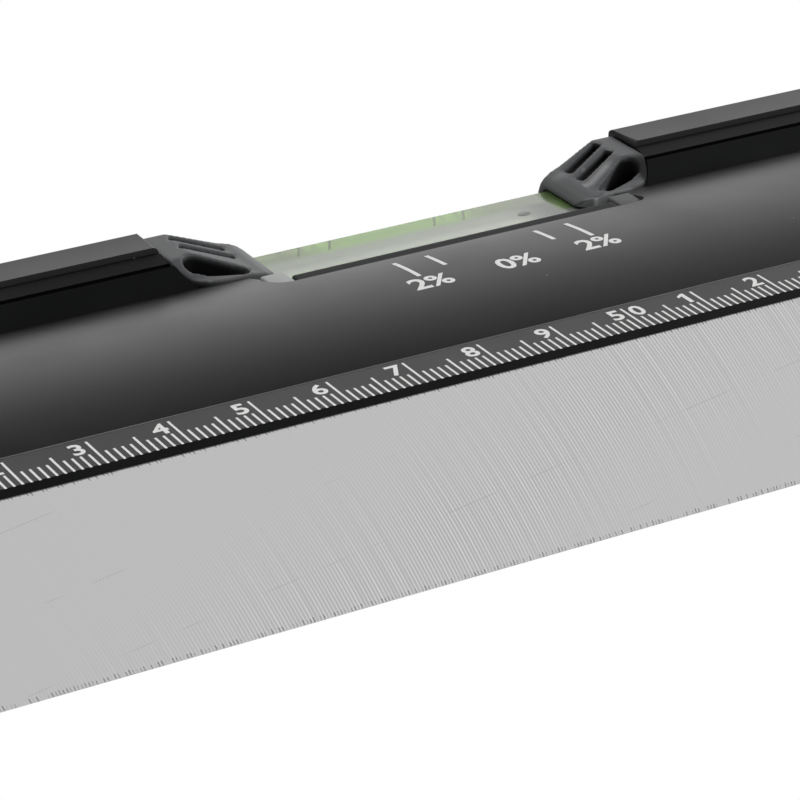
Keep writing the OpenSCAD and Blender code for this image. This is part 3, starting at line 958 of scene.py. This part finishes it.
@dataclass
class Print:
    """The printed ruler on the band and the slope marks with their numbers on the face.

    Sizes are in millimetres. The ruler starts near the left end of the profile. The ink's sunk
    share lies inside the face, and a character's own sizes are shares of its height.
    """

    profile: Profile
    ink: float = 0.015
    sunk: float = 0.2
    tick_w: float = 0.3
    tick_low: float = 0.75
    tick_tops: Triple = (3.6, 4.95, 6.55)
    digit_h: float = 2.6
    digit_z: float = 3.95
    digit_wide: float = 1.08
    start: float = -0.3
    unit_x: float = -1.65
    tens_x: Pair = (-1.5, 1.5)
    mark_w: float = 0.6
    mark_inner: Triple = (7.85, 26.1, 30.8)
    mark_outer: Triple = (12.45, 24.5, 30.8)
    mark_stations: int = 9
    label_h: float = 3.3
    label_x: Triple = (-12.2, 0.0, 11.75)
    label_z: float = 20.6
    label_gap: float = 0.25
    rows: int = 6
    bold: float = 0.022
    curve_steps: int = 3

    def strips(self, x: Array, low: Array, high: Array, width: float, stations: int = 2) -> Shape:
        """Thin upright strips of ink that follow the face.

        Each strip is a closed bar: its four long edges are carried up the face from low to high.

        Args:
            x: Middle of each strip.
            low: Lower end of each strip.
            high: Upper end of each strip.
            width: Width of the strips.
            stations: Points along each strip.

        Returns:
            Points in millimetres and quads.
        """
        z = low[:, None] + (high - low)[:, None] * np.linspace(0, 1, stations)
        face = -self.profile.face_half(z)
        side = np.array([-0.5, 0.5, 0.5, -0.5]) * width
        out = np.array([1.0, 1.0, -self.sunk, -self.sunk]) * self.ink
        points = np.stack(np.broadcast_arrays(x[:, None, None] + side, face[:, :, None] - out, z[:, :, None]),
                          axis=-1)
        bar = np.array(tube_faces(stations, 4))
        first = np.arange(len(x))[:, None, None] * 4 * stations
        return points.reshape(-1, 3), (bar[None] + first).reshape(-1, 4)

    def glyph(self, character: str) -> tuple[Array, Faces, float]:
        """One character as a flat closed mesh, a digit being one unit high.

        Args:
            character: A digit or a percent sign.

        Returns:
            Points with the outline in X and Y and the thickness in Z, faces, and the width.
        """
        if character == "1":
            return self.figure_one()
        curve = bpy.data.curves.new("glyph", "FONT")
        curve.body = character
        curve.extrude = 0.5
        curve.offset = self.bold
        curve.resolution_u = self.curve_steps
        holder = put("glyph", curve)
        bpy.context.view_layer.update()
        mesh = bpy.data.meshes.new_from_object(holder.evaluated_get(bpy.context.evaluated_depsgraph_get()))
        self.cut_rows(mesh)
        points = read(mesh.vertices, "co")
        faces = [list(face.vertices) for face in mesh.polygons]
        bpy.data.objects.remove(holder)
        bpy.data.curves.remove(curve)
        bpy.data.meshes.remove(mesh)
        points[:, :2] -= points[:, :2].min(axis=0)
        points[:, :2] /= np.ptp(points[:, 1])
        return points, faces, float(np.ptp(points[:, 0]))

    def cut_rows(self, mesh: bpy.types.Mesh) -> None:
        """Cuts a character's faces at even heights, so that long ones can follow the crown.

        Args:
            mesh: The character's mesh.
        """
        work = bmesh.new()
        work.from_mesh(mesh)
        heights = [point.co.y for point in work.verts]
        for height in np.linspace(min(heights), max(heights), self.rows + 1)[1:-1]:
            whole = work.verts[:] + work.edges[:] + work.faces[:]
            bmesh.ops.bisect_plane(work, geom=whole, plane_co=(0, height, 0), plane_no=(0, 1, 0))
        work.to_mesh(mesh)
        work.free()

    def figure_one(self) -> tuple[Array, Faces, float]:
        """The figure one with a flag, which the built-in font lacks, as a flat closed mesh.

        Returns:
            Points, faces and width, as for any other character.
        """
        stem, top, flag, foot, neck = 0.2, 0.26, 0.82, 0.64, 0.76
        outline = np.array([(stem, 0), (2 * stem, 0), (2 * stem, 1), (top, 1), (0, flag), (0, foot),
                            (stem, neck)])
        thick = np.repeat([-0.5, 0.5], len(outline))
        points = np.column_stack([np.concatenate([outline, outline]), thick])
        return points, tube_faces(2, len(outline)), 2 * stem

    def words(self, placed: list[tuple[str, float, float, float]]) -> Shape:
        """Places characters on the face.

        A point's outline goes to X and Z, and its thickness goes outwards from the face at that Z.

        Args:
            placed: For each character: itself, its middle X, its lower Z and its height.

        Returns:
            Points in millimetres and faces.
        """
        shapes = {character: self.glyph(character) for character in {row[0] for row in placed}}
        points: list[Array] = []
        faces: Faces = []
        count = 0
        for character, x, z, height in placed:
            outline, polygons, wide = shapes[character]
            rise = z + outline[:, 1] * height
            ink = ((1 - self.sunk) / 2 + (1 + self.sunk) * outline[:, 2]) * self.ink
            along = x + (outline[:, 0] - wide / 2) * height * self.digit_wide
            points.append(np.stack([along, -self.profile.face_half(rise) - ink, rise], axis=-1))
            faces += [[index + count for index in polygon] for polygon in polygons]
            count += len(outline)
        return np.concatenate(points), faces

    def lay(self, name: str, shape: Shape) -> None:
        """Sets out points in millimetres and faces as one piece of ink."""
        set_out(mesh_object(name, shape[0] * MM, shape[1], INK), Slot.PROFILE)

    def ruler(self) -> None:
        """Ticks at every millimetre, longer at 5 and 10, and the centimetres' numbers."""
        length = int(round(self.profile.right - self.profile.left))
        zero = self.profile.left + self.start
        mark = np.arange(1, length)
        top = np.array(self.tick_tops)[np.where(mark % 10 == 0, 2, np.where(mark % 5 == 0, 1, 0))]
        self.lay("ruler_ticks", self.strips(zero + mark, np.full(len(mark), self.tick_low), top, self.tick_w))
        digits: list[tuple[str, float]] = []
        for centimetre in range(1, length // 10):
            x = zero + 10 * centimetre
            tens, unit = divmod(centimetre, 10)
            if unit:
                digits.append((str(unit), x + self.unit_x))
            else:
                digits += [(str(tens), x + self.tens_x[0]), ("0", x + self.tens_x[1])]
        self.lay("ruler_numbers", self.words([(*digit, self.digit_z, self.digit_h) for digit in digits]))

    def slope_marks(self) -> None:
        """The four marks below the vial window and the numbers under them."""
        rows = np.array([(side * x, low, high) for x, low, high in (self.mark_inner, self.mark_outer)
                         for side in (-1, 1)])
        self.lay("slope_marks", self.strips(*rows.T, self.mark_w, self.mark_stations))
        percent = self.glyph("%")[2] * self.label_h
        signs: list[tuple[str, float]] = []
        for middle, digit in zip(self.label_x, "202"):
            wide = self.glyph(digit)[2] * self.label_h
            start = middle - (wide + self.label_gap + percent) / 2
            signs += [(digit, start + wide / 2), ("%", start + wide + self.label_gap + percent / 2)]
        self.lay("slope_numbers", self.words([(*sign, self.label_z, self.label_h) for sign in signs]))


@dataclass
class MouldedPieces:
    """Pieces from a mould: wedges, cradle, end caps, bumpers and bezels, with the soft edges of a mould.

    Each solid is skinned again with small even faces, which are then relaxed, so that every edge
    rounds to about three faces' width. Sizes are in millimetres, those of a wedge for its outside.
    """

    wedge_face: float = 0.22
    trim_face: float = 0.3
    relax: int = 8
    relax_share: float = 0.5
    plan_x: Triple = (21.0, 25.4, 31.9)
    plan_half: Triple = (9.6, 11.3, 13.3)
    section_z: Pair = (43.5, 46.7)
    section_half: Pair = (11.48, 13.3)
    top_x: Pair = (23.4, 31.9)
    top_z: Pair = (52.3, 54.6)
    low_z: float = 41.7
    slot_x: float = 24.9
    rib_x: Pair = (26.0, 32.0)
    rib_z: Pair = (45.5, 48.4)
    rib_half: float = 0.8
    rib_lift: float = 0.55
    rib_end: Pair = (29.5, 31.2)
    shut_depth: Pair = (0.25, 0.9)
    shut_least: float = 0.02
    far_depth: Pair = (0.8, 2.2)
    shade_x: Pair = (28.2, 32.0)
    shade_gain: Pair = (0.8, 2.6)
    lip_x: Pair = (24.2, 25.2)
    lip_z: Pair = (42.6, 44.0)
    lip_turn: Pair = (-0.68, -0.5)
    tip_at: Pair = (24.2, 50.4)
    tip_r: float = 1.3
    tip_lift: float = 0.35
    gap_x: Pair = (32.2, 33.1)
    gap_z: Pair = (46.0, 48.0)
    gap_shade: float = 0.85
    under_z: Pair = (41.55, 41.8)
    under_lift: float = 0.5

    def soften(self, node: str, face: float, finish: Finish, slot: Slot) -> Piece:
        """Copies a node, skins it with even faces and relaxes them.

        Args:
            node: The node's name.
            face: Size of the faces in millimetres.
            finish: The piece's finish.
            slot: The record's slot.

        Returns:
            The new piece.
        """
        piece = merged_copy(node, node + "_moulding")
        skin = piece.modifiers.new("even_skin", "REMESH")
        skin.mode = "VOXEL"
        skin.voxel_size = face * MM
        edges = piece.modifiers.new("soft_edges", "SMOOTH")
        edges.factor = self.relax_share
        edges.iterations = self.relax
        bpy.context.view_layer.update()
        mesh = bpy.data.meshes.new_from_object(piece.evaluated_get(bpy.context.evaluated_depsgraph_get()))
        piece.modifiers.clear()
        piece.data = mesh
        mesh.materials.clear()
        mesh.materials.append(finish.material())
        mesh.shade_smooth()
        set_out(piece, slot, node)
        return piece

    def mark_hollows(self, piece: Piece, side: Side) -> None:
        """Writes painted shade from 0 to 1 by how far each point of a wedge lies inside its slots and
        pockets.

        Minus 1 to 0 marks painted light on the right wedge's underside, its downward faces near the
        nose, its rib and its nose top. Painted shade darkens the end of that wedge at the rail, where the gap
        lies in shadow.

        The depth is the outside's half width at that X and Z less the point's own Y. Points near the
        nose, the top and the lower edge count as outside. In the left wedge's pockets and the right
        wedge's slots the painted shade starts at a smaller depth than in the others.

        Args:
            piece: The wedge's moulding.
            side: The end of the window that it fills.
        """
        x, y, z = np.abs(read(piece.data.vertices, "co").T / MM)
        plan = np.interp(x, self.plan_x, self.plan_half)
        depth = np.minimum(plan, np.interp(z, self.section_z, self.section_half)) - y
        near = np.interp(depth, self.shut_depth, UP)
        far = np.interp(depth * np.interp(x, self.shade_x, self.shade_gain), self.far_depth, UP)
        off_rib = z - np.interp(x, self.rib_x, self.rib_z)
        # painted shade, rising with the depth inside a slot or pocket
        painted_shade = np.where((off_rib > 0) == (side is Side.RIGHT), near, far)
        for inside in (np.interp(x, self.top_x, self.top_z) - z, z - self.low_z, x - self.slot_x):
            painted_shade = painted_shade * np.interp(inside, self.shut_depth, UP)
        # painted light on the right wedge: underside, downward faces near the nose, rib and nose top
        painted_light = np.zeros(len(x))
        if side is Side.RIGHT:
            rib = np.exp(-(off_rib / self.rib_half) ** 2) * (x > self.slot_x)
            rib *= np.interp(x, self.rib_end, DOWN)
            down = np.interp(read(piece.data.vertices, "normal")[:, 2], self.lip_turn, DOWN)
            lip = down * np.interp(x, self.lip_x, DOWN) * np.interp(z, self.lip_z, DOWN)
            tip = np.exp(-((x - self.tip_at[0]) ** 2 + (z - self.tip_at[1]) ** 2) / self.tip_r ** 2)
            under = np.interp(z, self.under_z, DOWN)
            painted_light = np.max([self.under_lift * under, self.rib_lift * rib, lip, self.tip_lift * tip], axis=0)
            # painted shade at the wedge's end by the rail, where the gap lies in shadow
            gap = np.interp(x, self.gap_x, UP) * np.interp(z, self.gap_z, DOWN)
            painted_shade = np.maximum(painted_shade, self.gap_shade * gap)
        hollow = piece.data.attributes.new(PAINTED_SHADING_ATTRIBUTE, "FLOAT", "POINT")
        hollow.data.foreach_set("value", np.where(painted_shade > self.shut_least, painted_shade, -painted_light).astype(np.float32))

    def build(self) -> None:
        """Makes every moulded piece."""
        self.soften("vial_cradle", self.trim_face, CRADLE, Slot.PLASTIC)
        for side in Side:
            wedge = self.soften(f"{side.word}_window_wedge", self.wedge_face, ABS, Slot.PLASTIC)
            self.mark_hollows(wedge, side)
            self.soften(f"{side.word}_end_cap", self.trim_face, ABS, Slot.PLASTIC)
            self.soften(f"{side.word}_bumper", self.trim_face, RUBBER, Slot.RUBBER)
            for face in ("front", "back"):
                self.soften(f"{side.word}_plumb_{face}_bezel", self.trim_face, ABS, Slot.PLASTIC)


@dataclass
class Vials:
    """The clear blocks with their liquid, rings and bubbles.

    A block is drawn without its bore, and the liquid inside it only tints, because acrylic and oil
    bend light nearly alike and no air lies between them. Sizes are in millimetres.
    """

    block_r: float = 0.5
    block_half: float = 9.4
    cradle_t: float = 1.9
    foot_r: float = 0.35
    foot_l: float = 3.4
    foot_h: float = 5.0
    foot_sink: float = 0.05
    rod_r: float = 0.4
    gate_at: Pair = (15.5, 45.15)
    gate_r: Pair = (0.9, 0.55)
    gate_out: float = 0.03
    gate_edge: float = 0.012
    gate_sides: int = 32

    def liquid(self, node: str, name: str, axis: int) -> None:
        """The filling of a bore as a round rod along X or Z.

        Args:
            node: The node's name.
            name: The piece's name.
            axis: 0 for X or 2 for Z.
        """
        low, high = corners(node)
        points, faces = round_rod((high - low)[1] / 2, low[axis], high[axis], self.rod_r * MM)
        place = (low + high) / 2
        place[axis] = 0
        turned = points if axis == 2 else points[:, [2, 0, 1]]
        closed_piece(name, (turned + place, faces), LIQUID, Slot.LIQUID, node)

    def gate(self) -> None:
        """A grey disc on the front of the block, as a flat rod along Y."""
        points, faces = round_rod(1.0, -self.gate_out, self.gate_out, self.gate_edge, self.gate_sides)
        points = points[:, [0, 2, 1]] * np.array([self.gate_r[0], 1.0, self.gate_r[1]])
        place = np.array([self.gate_at[0], -self.block_half, self.gate_at[1]])
        closed_piece("centre_vial_grey_disc", ((points + place) * MM, faces), GREY_DISC, Slot.ACRYLIC)

    def feet(self) -> None:
        """The block's four ground feet, at both ends of both sides."""
        low, high = corners("centre_vial_block")
        points: list[Array] = []
        faces: Faces = []
        for side in (-1, 1):
            for face in (-1, 1):
                ends = np.sort(side * np.array([high[0], high[0] - self.foot_l * MM]))
                depth = np.sort(face * np.array([(self.block_half - self.foot_sink) * MM, high[1]]))
                rise = low[2] + np.array([0.0, self.foot_h * MM])
                foot = rounded_box(*np.stack([ends, depth, rise], axis=-1), self.foot_r * MM)
                faces += [[index + len(points) * len(foot[0]) for index in polygon] for polygon in foot[1]]
                points.append(foot[0])
        closed_piece("centre_vial_feet", (np.concatenate(points), faces), FROSTED, Slot.ACRYLIC)

    def centre(self) -> None:
        """The vial in the window: block, feet, liquid, rings, plugs and bubble."""
        low, high = corners("centre_vial_block")
        half = self.block_half * MM
        low[1:] = -half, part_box("vial_cradle")[0].z + self.cradle_t * MM
        high[1] = half
        body = rounded_box(low, high, self.block_r * MM)
        closed_piece("centre_vial_body", body, ACRYLIC, Slot.ACRYLIC, "centre_vial_block")
        self.feet()
        self.gate()
        self.liquid("centre_vial_liquid", "centre_vial_oil", 0)
        for part, finish in (("rings", RING), ("plugs", PLUG), ("bubble", BUBBLE)):
            paint_node(f"centre_vial_{part}", finish)

    def plumb(self, side: Side) -> None:
        """The upright vial near one end: block, liquid, rings, plug and bubble.

        Args:
            side: The end of the level.
        """
        node = f"{side.word}_plumb_"
        body = rounded_box(*corners(node + "block"), self.block_r * MM)
        closed_piece(node + "body", body, CLEAR_BLOCK, Slot.ACRYLIC, node + "block")
        self.liquid(node + "liquid", node + "oil", 2)
        for part, finish in (("rings", RING), ("plug", PLUG), ("bubble", BUBBLE)):
            paint_node(node + part, finish)


@dataclass
class Studio:
    """Camera, pale floor, lamps and white room. Places and sizes are in millimetres."""

    camera_at: Triple = (-194.66, -173.82, -284.57)
    camera_aim: Triple = (-21.48, -4.86, 13.62)
    camera_top: Triple = (0.21999714, -0.89800106, 0.38104509)
    lens: float = 146.25
    sensor: float = 36.0
    clip: Pair = (10.0, 50000.0)
    floor_r: float = 6000.0
    floor_drop: float = 0.4
    floor_sides: int = 96
    front_dark: float = 0.05
    bright: float = 1.08
    front_y: Pair = (-0.78, -0.34)
    left_dark: float = 0.25
    left_x: Pair = (-0.45, 0.1)
    key_at: Triple = (-900.0, -3400.0, 1500.0)
    key_size: float = 1100.0
    key_power: float = 58.0
    fill_at: Triple = (1100.0, -1000.0, -700.0)
    fill_size: float = 700.0
    fill_power: float = 17.0

    def camera(self) -> None:
        """Sets the camera at the photograph's place, with its top direction up."""
        at = Vector(self.camera_at) * MM
        ahead = (Vector(self.camera_aim) * MM - at).normalized()
        right = ahead.cross(Vector(self.camera_top)).normalized()
        data = bpy.data.cameras.new("photo_camera")
        data.lens = self.lens
        data.sensor_width = self.sensor
        data.clip_start = self.clip[0] * MM
        data.clip_end = self.clip[1] * MM
        turn = Matrix((right, right.cross(ahead), -ahead)).transposed().to_4x4()
        turn.translation = at
        camera = put("photo_camera", data)
        camera.matrix_world = turn
        bpy.context.scene.camera = camera

    def floor(self) -> None:
        """A pale disc that takes the level's shadow, fades to white and shows nothing from below."""
        turn = np.linspace(0, 2 * math.pi, self.floor_sides, endpoint=False)
        rim = np.stack([np.cos(turn), np.sin(turn), np.zeros_like(turn)], axis=-1) * self.floor_r
        points = (rim - np.array([0, 0, self.floor_drop])) * MM
        floor = mesh_object("floor", points, [list(range(self.floor_sides))], FLOOR)
        floor.visible_shadow = False
        floor.visible_glossy = False
        floor.visible_transmission = False
        floor.visible_diffuse = False

    def room(self) -> None:
        """White walls, with a dark wall in front and a grey one at the left, seen in reflections alone."""
        world = bpy.data.worlds.new("room")
        nodes = Nodes(world, "Generated")
        x, y, _ = nodes.axes()
        wall = nodes.calc("MULTIPLY", nodes.ramp(y, self.front_y, self.front_dark, self.bright),
                          nodes.ramp(x, self.left_x, self.left_dark))
        rays = nodes.add("ShaderNodeLightPath").outputs
        seen = nodes.calc("MAXIMUM", rays["Is Camera Ray"], rays["Is Transmission Ray"])
        strength = nodes.add("ShaderNodeMix", i0=seen, i2=wall, i3=1.0).outputs[0]
        light = nodes.add("ShaderNodeBackground", Color=linear("#ffffff"), Strength=strength).outputs[0]
        nodes.add("ShaderNodeOutputWorld", Surface=light)
        bpy.context.scene.world = world

    def lamp(self, name: str, at: Triple, size: float, power: float, mirrored: bool) -> None:
        """A soft square lamp that faces the level.

        Args:
            name: The lamp's name.
            at: Its place in millimetres.
            size: Its side in millimetres.
            power: Its power in watts.
            mirrored: Whether glossy faces show it.
        """
        data = bpy.data.lights.new(name, "AREA")
        data.size = size * MM
        data.energy = power
        place = Vector(at) * MM
        turn = place.to_track_quat("Z", "Y").to_matrix().to_4x4()
        turn.translation = place
        lamp = put(name, data)
        lamp.matrix_world = turn
        lamp.visible_glossy = mirrored

    def build(self) -> None:
        """Sets camera, floor, room and lamps, and the plain view transform."""
        bpy.context.scene.view_settings.view_transform = "Standard"
        self.camera()
        self.floor()
        self.room()
        self.lamp("key_lamp", self.key_at, self.key_size, self.key_power, True)
        self.lamp("fill_lamp", self.fill_at, self.fill_size, self.fill_power, False)


def main() -> None:
    """Builds every sub-assembly in order."""
    logging.basicConfig(level=logging.INFO, format="%(name)s: %(message)s")
    Studio().build()
    profile = Profile()
    profile.shell()
    profile.band_bead()
    marks = Print(profile)
    marks.ruler()
    marks.slope_marks()
    MouldedPieces().build()
    vials = Vials()
    vials.centre()
    for side in Side:
        vials.plumb(side)
    paint_node("magnets", NICKEL)
    paint_node("magnet_cups", ZINC)


if __name__ == "__main__":
    main()
